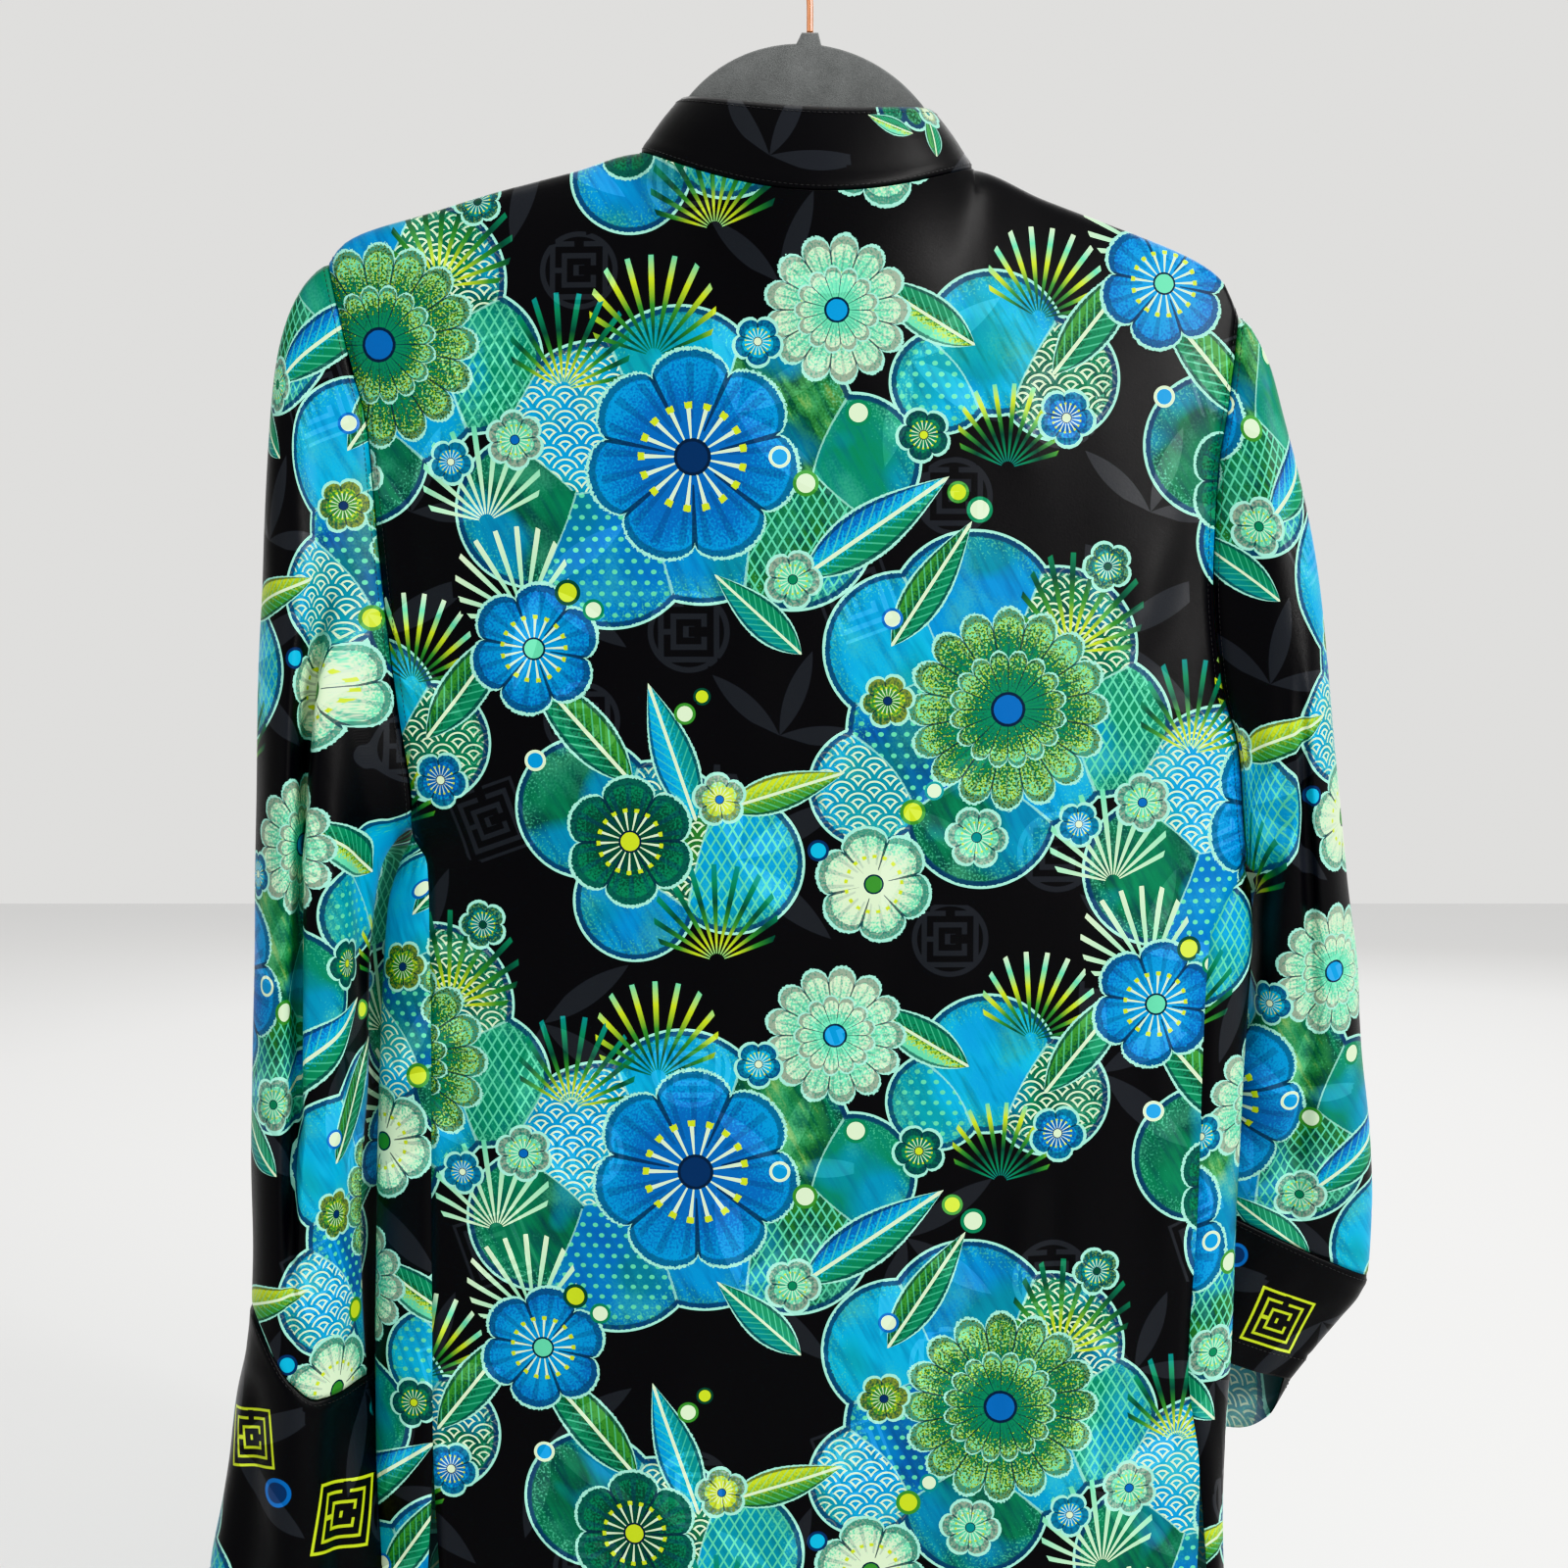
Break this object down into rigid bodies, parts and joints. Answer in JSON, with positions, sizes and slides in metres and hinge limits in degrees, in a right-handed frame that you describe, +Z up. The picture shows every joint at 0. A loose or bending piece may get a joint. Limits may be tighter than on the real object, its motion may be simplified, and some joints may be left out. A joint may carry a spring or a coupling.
{
  "type": "tunic top on a slim hanger",
  "caption": "Band-collar silk tunic with long set-in sleeves, flared cuffs, buttoned front and side vents, hanging on a slim flocked hanger with a wire hook.",
  "frame": {"origin": "inside top of the hook, where a rail or wall peg carries it", "axes": "+Z up, -Y is the wearer's back, which faces the viewer, +X is the wearer's right"},
  "size_m": [0.5794, 0.1137, 0.8851],
  "materials": {
    "printed_silk": "printed jacquard silk, soft sheen",
    "trim_silk": "black jacquard silk, soft sheen",
    "button": "polished",
    "flock": "velvet flock",
    "copper_wire": "copper-plated wire, polished"
  },
  "bodies": {
    "root": {"back": "printed_silk", "front_left": "printed_silk", "front_right": "printed_silk", "collar": "trim_silk", "sleeve_left": "printed_silk", "sleeve_right": "printed_silk", "cuff_left": "trim_silk", "cuff_right": "trim_silk", "button_1": "button", "button_2": "button", "button_3": "button", "button_4": "button", "button_5": "button", "button_6": "button", "button_7": "button", "hanger": "flock", "hook": "copper_wire"}
  },
  "joints": []
}
